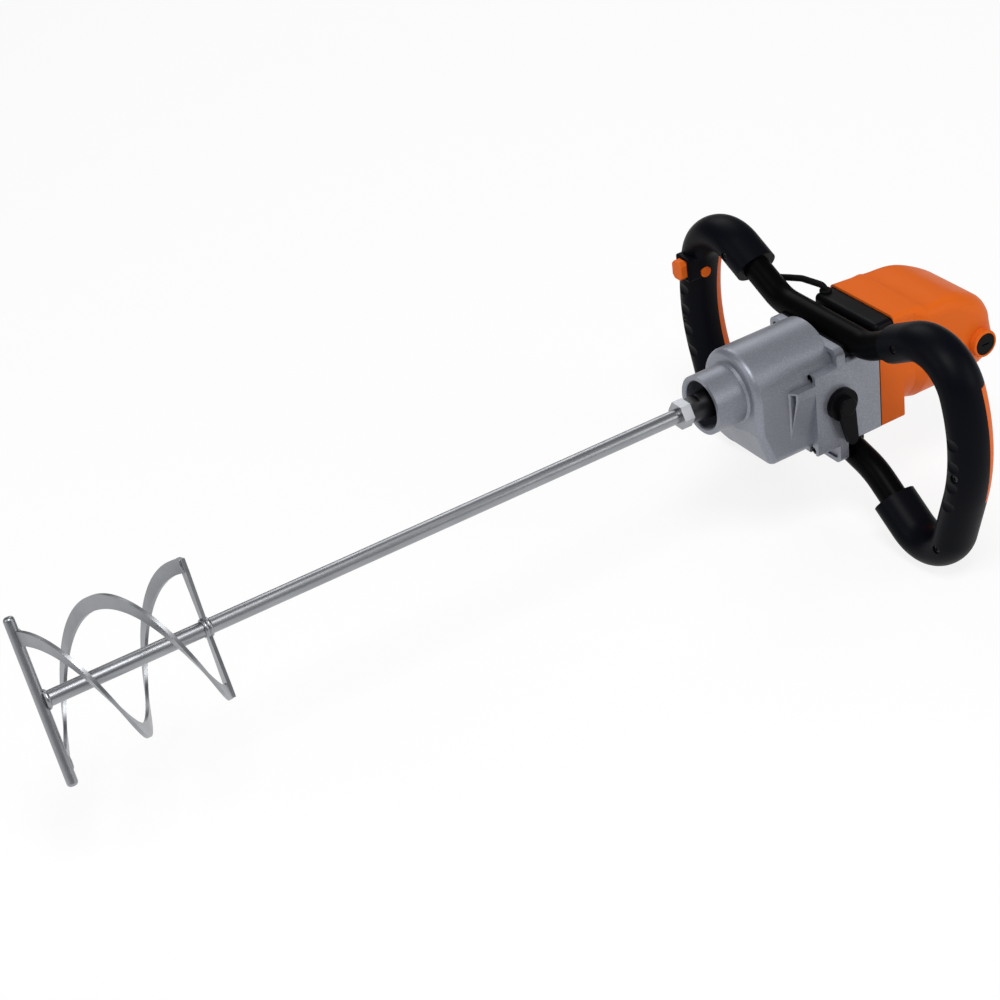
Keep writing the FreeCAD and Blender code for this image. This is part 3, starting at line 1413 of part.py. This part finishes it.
def make_grips(solids):
    across, deep = size("grip_across"), size("grip_along")
    skin = size("wall")
    outer = shaped("grip_outer", sweep_round(grip_wire("collar_side", "low_collar_side"), across, deep))
    hollow = shaped("grip_hollow", sweep_round(grip_wire("tube_end_side", "low_tube_end_side"),
                                               across - skin, deep - skin))
    shell = cut("grip_shell", outer, hollow, solids["upper_tube"], solids["lower_tube"])
    far = "belly_side + belly_bend"
    split = "handle_x + grip_split"
    reach = ("-(" + far + ")", far)
    ahead = block("grip_ahead", ("handle_x - belly_bend", split), ("0", far), reach)
    behind = block("grip_behind", (split, "handle_x + belly_bend"), ("0", far), reach)
    band = block("grip_band", (split, "handle_x + belly_bend"), ("foot_side", far),
                 ("-panel_low", "panel_high"))
    front = common("grip_front", shell, ahead)
    rear = common("grip_back_half", shell, behind)
    panel = common("grip_panel", rear, band)
    rear = cut("grip_rear", rear, band)
    pockets, screws = [], []
    face = "handle_x - grip_along"
    for k, (side, rise) in enumerate(grip_screw_spots()):
        pockets.append(bar("grip_pocket_" + str(k), "x", "grip_screw_pocket",
                           (face + " - overrun", face + " + grip_screw_sink"),
                           side, rise))
        pockets.append(bar("grip_hole_" + str(k), "x", "grip_screw_shank + slip",
                           (face, split + " + overrun"), side, rise))
        screws.append(socket_head("grip_screw_" + str(k), "x", "grip_screw_head", "grip_screw_sink / 2",
                                  "grip_screw_shank",
                                  face + " + grip_screw_sink / 2", side, rise, "grip_screw_length"))
    dips = [bar("grip_dip_" + str(k), "y", "dip_radius", ("foot_side", far),
                face + " - dip_radius + dip_depth",
                "dip_top - " + str(k) + " * dip_step") for k in range(int(size("dip_count")))]
    front = cut("grip_front_drilled", front, *pockets, *dips)
    right_screws = [flipped("right_" + s.Label, s) for s in screws]
    node("grip_screws", join("grip_screws", *screws, *right_screws))
    node("right_grip_front", flipped("right_grip_front", front))
    node("right_grip_rear", flipped("right_grip_rear", rear))
    node("right_grip_panel", flipped("right_grip_panel", panel))
    node("left_grip_front", left_front(front))
    node("left_grip_rear", cut("left_grip_rear", rear, lead_cut(), inlet_cut()))
    post = block("switch_post", ("switch_end", "handle_x + grip_along - wall / 2"),
                 ("(switch_near + switch_far) / 2 - post_half",
                  "(switch_near + switch_far) / 2 + post_half"),
                 ("(switch_low + switch_high) / 2 - post_half",
                  "(switch_low + switch_high) / 2 + post_half"))
    node("left_grip_panel", join("left_grip_panel", panel, post))


def left_front(front):
    rim = block("grip_bezel_block", ("bezel_x", "bezel_end"),
                ("trigger_near - bezel_rim", "trigger_far + bezel_rim"),
                ("trigger_low - bezel_rim", "trigger_high + bezel_rim"))
    rim = rounded("grip_bezel", rim, "bezel_edge",
                  lambda e: e.CenterOfMass.x < size("bezel_end") - near_zero)
    doc.recompute()
    body = shaped("left_front_solid", front.Shape.Solids[0].fuse(rim.Shape))
    slot = block("trigger_slot", ("trigger_x", "switch_start"),
                 ("trigger_near - loose", "trigger_far + loose"),
                 ("trigger_low - loose", "trigger_high + loose"))
    lips = block("trigger_lip_room", ("trigger_end - trigger_lip_thick - loose", "switch_start"),
                 ("trigger_stem_near - loose", "trigger_far + loose"),
                 ("trigger_low - trigger_lip - loose", "trigger_high + trigger_lip + loose"))
    hole = bar("lock_hole", "y", "lock_radius + 2 * slip",
               ("lock_face - overrun", "lock_face + lock_length + lock_travel + overrun"),
               "lock_x", "lock_rise")
    return cut("left_grip_front", body, slot, lips, hole)


def make_trigger():
    pad = block("trigger_pad", ("trigger_x", "trigger_split"), ("trigger_near", "trigger_far"),
                ("trigger_low", "trigger_high"))
    pad = rounded("trigger_pad_corner", pad, "trigger_corner", along("x"), chamfer=True)
    pad = rounded("trigger_pad_edge", pad, "trigger_edge",
                  lambda e: e.BoundBox.XMax < size("trigger_x") + near_zero)
    stem = block("trigger_stem", ("trigger_split - overrun", "trigger_end"),
                 ("trigger_stem_near", "trigger_far - overrun"),
                 ("trigger_low + overrun", "trigger_high - overrun"))
    lip = block("trigger_lip", ("trigger_end - trigger_lip_thick", "trigger_end"),
                ("trigger_stem_near", "trigger_far - overrun"),
                ("trigger_low - trigger_lip", "trigger_high + trigger_lip"))
    node("trigger", join("trigger", pad, stem, lip))
    body = bar("lock_pin", "y", "lock_radius", ("lock_face", "lock_face + lock_length"), "lock_x",
               "lock_rise")
    body = rounded("lock_button", body, "lock_edge", lambda e: len(e.Vertexes) == 1
                   and e.CenterOfMass.y < size("lock_face") + near_zero)
    node("lock_button", body)
    node("switch_body", block("switch_body", ("switch_start", "switch_end"), ("switch_near", "switch_far"),
                              ("switch_low", "switch_high")))


# Lead from the left grip to the terminal cover, and the mains inlet
def lead_wire():
    arm = spot("arm_side", "bar_rise")
    top = spot("top_side", "top_rise")
    run = (top - arm).normalize()
    shift = Vector(size("lead_behind"), run.z * size("lead_below"), -run.y * size("lead_below"))
    bow, crest, fall = [Vector(*[size("lead_" + spot + "_" + part) for part in ("x", "side", "rise")])
                        for spot in ("bow", "crest", "end")]
    inside = Vector(fall.x, fall.y, size("cover_top") - size("lead_end_depth"))
    points = [between(arm, top, "lead_in_side") + shift, between(arm, top, "lead_out_side") + shift,
              bow, crest, fall, inside]
    return bent_wire(points, [size("lead_" + spot + "_bend") for spot in ("dip", "bow", "crest", "end")])


def lead_shape(radius):
    wire = lead_wire()
    first = wire.OrderedEdges[0]
    origin = first.valueAt(first.FirstParameter)
    section = Part.Circle(origin, first.tangentAt(first.FirstParameter), radius).toShape()
    return wire.makePipeShell([Part.Wire([section])], True, False)


def lead_cut():
    return shaped("lead_channel", lead_shape(size("lead_bore")))


def inlet_cut():
    return bar("inlet_hole", "x", "inlet_radius", ("inlet_start", "inlet_end"), "inlet_side", "-inlet_drop")


def make_lead():
    node("lead", shaped("lead", lead_shape(size("lead_radius"))))
    ends = ("cover_top", "cover_top + gland_length")
    gland = bar("gland_solid", "z", "gland_radius", ends, "lead_end_x", "lead_end_side")
    gland = rounded("gland_edge", gland, "knob_edge", lambda e: len(e.Vertexes) == 1
                    and e.CenterOfMass.z > size("cover_top") + near_zero)
    hole = bar("gland_hole", "z", "lead_radius", ("cover_top - overrun",
                                                  "cover_top + gland_length + overrun"),
               "lead_end_x", "lead_end_side")
    node("lead_gland", cut("lead_gland", gland, hole))
    inlet = bar("inlet_solid", "x", "inlet_radius", ("inlet_start", "inlet_end"), "inlet_side",
                "-inlet_drop")
    bore = bar("inlet_bore", "x", "inlet_bore", ("inlet_start - overrun", "inlet_end + overrun"),
               "inlet_side", "-inlet_drop")
    node("cord_inlet", cut("cord_inlet", inlet, bore))


make_gear_case()
make_gearbox_back()
make_case_screws()
make_bearings()
make_spindle()
make_gears()
make_dog_sleeve()
make_shift_fork()
make_selector()
make_paddle()
make_motor_shell()
make_terminal_cover()
make_motor_inside()
tube_solids = make_tubes()
make_saddles(tube_solids)
make_grips(tube_solids)
make_trigger()
make_lead()
doc.recompute()

for item in doc.Objects:
    if "Invalid" in item.State or "Error" in item.State:
        raise RuntimeError(item.Label + " did not build")
for name, item in nodes.items():
    if item.Shape.isNull() or not item.Shape.isValid() or not item.Shape.Solids:
        raise RuntimeError(name + " has no valid solid")
    item.Shape.exportStep("parts/" + name + ".step")
    print(name, len(item.Shape.Solids), round(item.Shape.Volume))
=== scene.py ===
import json
import math
import bpy
import mathutils
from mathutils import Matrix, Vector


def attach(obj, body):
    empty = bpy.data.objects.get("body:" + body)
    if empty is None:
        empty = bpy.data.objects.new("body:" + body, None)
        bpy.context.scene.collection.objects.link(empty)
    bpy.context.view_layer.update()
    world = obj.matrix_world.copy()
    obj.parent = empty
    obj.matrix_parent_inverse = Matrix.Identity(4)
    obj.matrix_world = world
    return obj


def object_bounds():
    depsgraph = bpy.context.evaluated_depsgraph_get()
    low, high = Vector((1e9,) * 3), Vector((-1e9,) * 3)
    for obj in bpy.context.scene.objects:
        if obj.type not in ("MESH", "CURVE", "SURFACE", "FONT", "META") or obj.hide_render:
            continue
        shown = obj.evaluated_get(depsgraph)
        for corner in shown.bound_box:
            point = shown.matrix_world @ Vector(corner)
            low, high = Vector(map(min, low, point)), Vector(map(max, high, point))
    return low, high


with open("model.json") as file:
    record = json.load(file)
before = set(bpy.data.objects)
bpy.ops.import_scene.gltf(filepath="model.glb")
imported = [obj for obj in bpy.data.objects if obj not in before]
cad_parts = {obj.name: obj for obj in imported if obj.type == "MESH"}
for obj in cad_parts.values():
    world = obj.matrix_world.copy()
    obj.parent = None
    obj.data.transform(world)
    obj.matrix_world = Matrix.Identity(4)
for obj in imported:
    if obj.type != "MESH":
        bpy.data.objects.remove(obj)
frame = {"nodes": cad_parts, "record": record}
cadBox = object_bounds()
nodes = frame["nodes"]
print("frame loaded:", len(nodes), "nodes")


# a shader socket that takes Python's + - and *
class Sock:
    def __init__(self, tree, out):
        self.tree = tree
        self.out = out

    def make(self, kind, settings=None, **inputs):
        node = self.tree.nodes.new(kind)
        for key, value in (settings or {}).items():
            setattr(node, key, value)
        for key, value in inputs.items():
            put(self.tree, node, key, value)
        return node

    def maths(self, operation, first, second):
        node = self.tree.nodes.new("ShaderNodeMath")
        node.operation = operation
        for index, value in enumerate((first, second)):
            put(self.tree, node, index, value)
        return Sock(self.tree, node.outputs[0])

    def __add__(self, other):
        return self.maths("ADD", self, other)

    def __radd__(self, other):
        return self.maths("ADD", other, self)

    def __sub__(self, other):
        return self.maths("SUBTRACT", self, other)

    def __mul__(self, other):
        return self.maths("MULTIPLY", self, other)

    def atLeast(self, low):
        return self.maths("MAXIMUM", self, low)


def put(tree, node, key, value):
    socket = node.inputs[key]
    if isinstance(value, Sock):
        tree.links.new(value.out, socket)
    else:
        socket.default_value = value


# a material whose colour, roughness and relief vary over the piece's own coordinates
class Finish:
    def __init__(self, name, metal=0.0, shine=0.5):
        self.mat = bpy.data.materials.new(name)
        self.mat.use_nodes = True
        self.tree = self.mat.node_tree
        self.shader = self.tree.nodes["Principled BSDF"]
        self.shader.inputs["Metallic"].default_value = metal
        self.shader.inputs["Specular IOR Level"].default_value = shine
        coords = self.tree.nodes.new("ShaderNodeTexCoord")
        self.place = Sock(self.tree, coords.outputs["Object"])

    def stretched(self, scale):
        node = self.place.make("ShaderNodeMapping", Vector=self.place, Scale=scale)
        return Sock(self.tree, node.outputs[0])

    def noise(self, scale, detail=2.0, rough=0.5, along=None):
        spot = self.stretched(along) if along else self.place
        node = self.place.make("ShaderNodeTexNoise", Vector=spot, Scale=scale, Detail=detail, Roughness=rough)
        return Sock(self.tree, node.outputs[0])

    def mix(self, factor, first, second):
        node = self.place.make("ShaderNodeMix", {"data_type": "RGBA"})
        sockets = [s for s in node.inputs if s.enabled]
        for socket, value in zip(sockets, (factor, first, second)):
            if isinstance(value, Sock):
                self.tree.links.new(value.out, socket)
            else:
                socket.default_value = (*value, 1)
        return Sock(self.tree, [s for s in node.outputs if s.enabled][0])

    def colour(self, value):
        self.tree.links.new(value.out, self.shader.inputs["Base Color"])

    def rough(self, value):
        self.tree.links.new(value.out, self.shader.inputs["Roughness"])

    def bump(self, height, strength, distance):
        node = self.place.make("ShaderNodeBump", Height=height, Strength=strength, Distance=distance)
        self.tree.links.new(node.outputs[0], self.shader.inputs["Normal"])


# cast housing: silver lacquer on a fine sand-cast skin
castLook = {"base": (0.262, 0.275, 0.318), "dark": (0.205, 0.216, 0.252), "fleck": (0.315, 0.328, 0.372),
            "metal": 0.6, "patches": 22, "rough": 0.36, "roughSpan": 0.14,
            "flecks": 900, "fleckGain": 3.0, "fleckCut": 1.3,
            "grain": 900, "pits": 260, "pitShare": 0.5, "bump": 0.22, "depth": 0.0004}


def castFinish():
    f = Finish("castSilver", castLook["metal"])
    patch = f.noise(castLook["patches"], 3)
    skin = f.mix(patch, castLook["base"], castLook["dark"])
    fleck = f.noise(castLook["flecks"]) * castLook["fleckGain"] - castLook["fleckCut"]  # bright flakes
    f.colour(f.mix(fleck.atLeast(0.0), skin, castLook["fleck"]))
    f.rough(castLook["rough"] + patch * castLook["roughSpan"])
    height = f.noise(castLook["grain"]) + f.noise(castLook["pits"]) * castLook["pitShare"]
    f.bump(height, castLook["bump"], castLook["depth"])
    return f.mat


orangeLook = {"base": (0.74, 0.138, 0.014), "deep": (0.68, 0.12, 0.011), "shine": 0.07, "clouds": 14,
              "rough": 0.36, "roughSpan": 0.1, "smears": 60, "grain": 1500, "bump": 0.12, "depth": 0.0004}


def orangeFinish():
    f = Finish("orangeShell", shine=orangeLook["shine"])
    f.colour(f.mix(f.noise(orangeLook["clouds"]), orangeLook["base"], orangeLook["deep"]))
    f.rough(orangeLook["rough"] + f.noise(orangeLook["smears"]) * orangeLook["roughSpan"])
    f.bump(f.noise(orangeLook["grain"], 1), orangeLook["bump"], orangeLook["depth"])
    return f.mat


# soft skin of the grips, worn a little lighter in places
softLook = {"base": (0.0016, 0.0019, 0.0036), "worn": (0.0028, 0.0032, 0.0056), "shine": 0.05, "wear": 18,
            "rough": 0.36, "roughSpan": 0.14, "smears": 45, "grain": 1800, "bump": 0.1, "depth": 0.0002}


def softFinish():
    f = Finish("softGrip", shine=softLook["shine"])
    f.colour(f.mix(f.noise(softLook["wear"], 3), softLook["base"], softLook["worn"]))
    f.rough(softLook["rough"] + f.noise(softLook["smears"], 3) * softLook["roughSpan"])
    f.bump(f.noise(softLook["grain"], 1), softLook["bump"], softLook["depth"])
    return f.mat


# hard blacks: mouldings, painted tubes, rubber and the brushes
blackLook = {"wear": 20, "wornTimes": 1.5, "roughSpan": 0.12, "smears": 50, "depth": 0.0003}


def blackFinish(name, base, rough, grain, bump, shine=0.06):
    f = Finish(name, shine=shine)
    worn = tuple(blackLook["wornTimes"] * c for c in base)
    f.colour(f.mix(f.noise(blackLook["wear"], 3), base, worn))
    f.rough(rough + f.noise(blackLook["smears"], 3) * blackLook["roughSpan"])
    f.bump(f.noise(grain), bump, blackLook["depth"])
    return f.mat


# zinc of the stirrer, drawn out along the rod
zincLook = {"base": (0.39, 0.40, 0.42), "dull": (0.26, 0.268, 0.285), "streaks": 160, "drawn": (0.06, 1, 1),
            "clouds": 30, "rough": 0.26, "streakRough": 0.14, "cloudRough": 0.08, "bump": 0.08, "depth": 0.0002}


def zincFinish():
    f = Finish("zincSteel", 1.0)
    streak = f.noise(zincLook["streaks"], 4, 0.6, along=zincLook["drawn"])
    cloud = f.noise(zincLook["clouds"], 4)
    f.colour(f.mix(cloud, zincLook["base"], zincLook["dull"]))
    f.rough(zincLook["rough"] + streak * zincLook["streakRough"] + cloud * zincLook["cloudRough"])
    f.bump(streak, zincLook["bump"], zincLook["depth"])
    return f.mat


steelLook = {"clouds": 60, "darkTimes": 0.75, "roughSpan": 0.14, "grain": 700, "bump": 0.06, "depth": 0.0002}


def steelFinish(name, base, rough):
    f = Finish(name, 1.0)
    cloud = f.noise(steelLook["clouds"], 4)
    dark = tuple(steelLook["darkTimes"] * c for c in base)
    f.colour(f.mix(cloud, base, dark))
    f.rough(rough + cloud * steelLook["roughSpan"])
    f.bump(f.noise(steelLook["grain"]), steelLook["bump"], steelLook["depth"])
    return f.mat


# enamelled wire of the windings
copperLook = {"base": (0.72, 0.34, 0.14), "gap": (0.42, 0.17, 0.06), "metal": 0.9, "wires": 900,
              "drawn": (0.2, 1, 1), "rough": 0.26, "roughSpan": 0.15, "bump": 0.3, "depth": 0.0005}


def copperFinish():
    f = Finish("copperWire", copperLook["metal"])
    wires = f.noise(copperLook["wires"], along=copperLook["drawn"])
    f.colour(f.mix(wires, copperLook["base"], copperLook["gap"]))
    f.rough(copperLook["rough"] + wires * copperLook["roughSpan"])
    f.bump(wires, copperLook["bump"], copperLook["depth"])
    return f.mat


finishes = {
    "cast": castFinish(),
    "orange": orangeFinish(),
    "black_soft": softFinish(),
    "black_plastic": blackFinish("blackMoulding", (0.0022, 0.0023, 0.0030), 0.36, 1300, 0.1),
    "black_paint": blackFinish("blackTube", (0.0011, 0.0012, 0.0014), 0.32, 420, 0.06, 0.03),
    "black_rubber": blackFinish("blackRubber", (0.003, 0.003, 0.003), 0.49, 900, 0.12),
    "carbon": blackFinish("carbonBlock", (0.03, 0.03, 0.03), 0.54, 800, 0.2),
    "zinc_steel": zincFinish(),
    "spindle_steel": steelFinish("blackOxide", (0.055, 0.055, 0.06), 0.3),
    "screw_steel": steelFinish("screwBlack", (0.06, 0.06, 0.065), 0.34),
    "bearing_steel": steelFinish("bearingSteel", (0.62, 0.62, 0.63), 0.19),
    "gear_steel": steelFinish("gearSteel", (0.45, 0.45, 0.46), 0.28),
    "laminations": steelFinish("stackedSheet", (0.3, 0.3, 0.31), 0.39),
    "copper": copperFinish(),
}
for entry in frame["record"]["subparts"]:
    item = nodes[entry["node"]]
    item.data.materials.clear()
    item.data.materials.append(finishes[entry["material_slot"]])
print("finishes set:", len(finishes))


# weld beads of the paddle: rings around the rod, and short runs where the blades end
weld = {"ring": 0.0021, "ringTurns": 72, "ringSides": 20, "run": 0.0016, "runSides": 32, "runShare": 0.1,
        "ripple": 0.0005, "rippleSize": 0.004}


def corners(name):
    item = nodes[name]
    return [item.matrix_world @ v.co for v in item.data.vertices]


def settle(piece, name):
    piece.name = name
    bpy.ops.object.transform_apply(location=True, rotation=True, scale=True)
    clouds = bpy.data.textures.new(name + "Grain", "CLOUDS")
    clouds.noise_scale = weld["rippleSize"]
    swell = piece.modifiers.new("swell", "DISPLACE")
    swell.texture = clouds
    swell.strength = weld["ripple"]
    bpy.ops.object.modifier_apply(modifier=swell.name)
    bpy.ops.object.shade_smooth()
    piece.data.materials.append(finishes["zinc_steel"])
    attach(piece, "spindle")


def ringBead(name, x, radius):
    bpy.ops.object.select_all(action="DESELECT")
    bpy.ops.mesh.primitive_torus_add(
        location=(x, 0, 0), rotation=(0, math.pi / 2, 0), major_radius=radius, minor_radius=weld["ring"],
        major_segments=weld["ringTurns"], minor_segments=weld["ringSides"])
    settle(bpy.context.object, name)


def runBead(name, place, along, half):
    bpy.ops.object.select_all(action="DESELECT")
    turn = along.to_track_quat("Z", "Y").to_euler()
    bpy.ops.mesh.primitive_uv_sphere_add(
        segments=weld["runSides"], ring_count=weld["runSides"], location=place, rotation=turn)
    piece = bpy.context.object
    piece.scale = (weld["run"], weld["run"], half)
    settle(piece, name)


def paddleWelds():
    cross = corners("crossbar")
    spoke = corners("rear_spoke")
    rodRadius = max(math.hypot(v.y, v.z) for v in corners("paddle_rod"))
    crossBack = max(v.x for v in cross)
    spokeFront = min(v.x for v in spoke)
    spokeBack = max(v.x for v in spoke)
    tip = max(cross, key=lambda v: math.hypot(v.y, v.z))
    along = mathutils.Vector((0, tip.y, tip.z)).normalized()
    reach = max(math.hypot(v.y, v.z) for v in corners("helix_blade_a"))
    half = weld["runShare"] * reach
    ringBead("weldRodEnd", crossBack, rodRadius)
    ringBead("weldSpokeFront", spokeFront, rodRadius)
    ringBead("weldSpokeBack", spokeBack, rodRadius)
    for side, sign in (("Near", 1), ("Far", -1)):
        spot = along * sign * (reach - half)
        runBead("weldCross" + side, spot + mathutils.Vector((crossBack, 0, 0)), along, half)
        runBead("weldSpoke" + side, spot + mathutils.Vector((spokeFront, 0, 0)), along, half)


paddleWelds()
print("welds made")


# studio: pale floor that looks white and keeps the shadow
studio = {"floorDrop": 0.0006, "floorSize": 30.0, "floorTone": 0.98, "floorGlow": 0.85, "skyLight": 0.16}


def floorFinish():
    mat = bpy.data.materials.new("paleFloor")
    mat.use_nodes = True
    tree = mat.node_tree
    tree.nodes.remove(tree.nodes["Principled BSDF"])
    start = Sock(tree, None)
    matt = start.make("ShaderNodeBsdfDiffuse", Color=(studio["floorTone"],) * 3 + (1,))
    glow = start.make("ShaderNodeEmission", Color=(1, 1, 1, 1), Strength=1.0)
    path = tree.nodes.new("ShaderNodeLightPath")
    camera, glossy, through = (Sock(tree, path.outputs["Is " + ray + " Ray"])
                               for ray in ("Camera", "Glossy", "Transmission"))
    seen = camera.atLeast(glossy).atLeast(through)
    blend = tree.nodes.new("ShaderNodeMixShader")
    put(tree, blend, 0, seen * studio["floorGlow"])
    tree.links.new(matt.outputs[0], blend.inputs[1])
    tree.links.new(glow.outputs[0], blend.inputs[2])
    tree.links.new(blend.outputs[0], tree.nodes["Material Output"].inputs["Surface"])
    return mat


bpy.ops.object.select_all(action="DESELECT")
floorZ = cadBox[0][2] - studio["floorDrop"]
bpy.ops.mesh.primitive_plane_add(size=studio["floorSize"], location=(0, 0, floorZ))
floor = bpy.context.object
floor.name = "floor"
floor.data.materials.append(floorFinish())

lamps = {
    "key": {"place": (-0.6, -1.2, 2.7), "aim": (0.05, 0, 0), "size": 1.1, "power": 58},
    "fill": {"place": (-2.4, 0.2, 1.4), "aim": (0, 0, 0), "size": 1.4, "power": 17},
    "side": {"place": (1.6, -1.8, 1.0), "aim": (0.1, 0, 0), "size": 1.2, "power": 16},
    "rim": {"place": (0.9, 2.0, 1.8), "aim": (0.1, 0, 0), "size": 1.4, "power": 18},
}
for name, look in lamps.items():
    data = bpy.data.lights.new(name, "AREA")
    data.energy = look["power"]
    data.size = look["size"]
    lamp = bpy.data.objects.new(name, data)
    bpy.context.scene.collection.objects.link(lamp)
    lamp.location = look["place"]
    away = mathutils.Vector(look["place"]) - mathutils.Vector(look["aim"])
    lamp.rotation_euler = away.to_track_quat("Z", "Y").to_euler()

world = bpy.data.worlds.new("studio")
bpy.context.scene.world = world
world.use_nodes = True
sky = world.node_tree.nodes["Background"]
sky.inputs["Color"].default_value = (1, 1, 1, 1)
sky.inputs["Strength"].default_value = studio["skyLight"]

# camera as in the photograph: right, up and back directions, and the eye
eye = {"right": (0.83779, -0.53334, -0.11687), "up": (0.37733, 0.41085, 0.82995),
       "back": (-0.39463, -0.73942, 0.54545), "place": (-0.9661, -1.4259, 1.0478),
       "lens": 84.6, "sensor": 36}
camData = bpy.data.cameras.new("photoEye")
camData.lens = eye["lens"]
camData.sensor_width = eye["sensor"]
cam = bpy.data.objects.new("photoEye", camData)
bpy.context.scene.collection.objects.link(cam)
turn = mathutils.Matrix((eye["right"], eye["up"], eye["back"])).transposed()
cam.matrix_world = mathutils.Matrix.Translation(eye["place"]) @ turn.to_4x4()
bpy.context.scene.camera = cam
bpy.context.scene.view_settings.view_transform = "Standard"
print("studio ready")
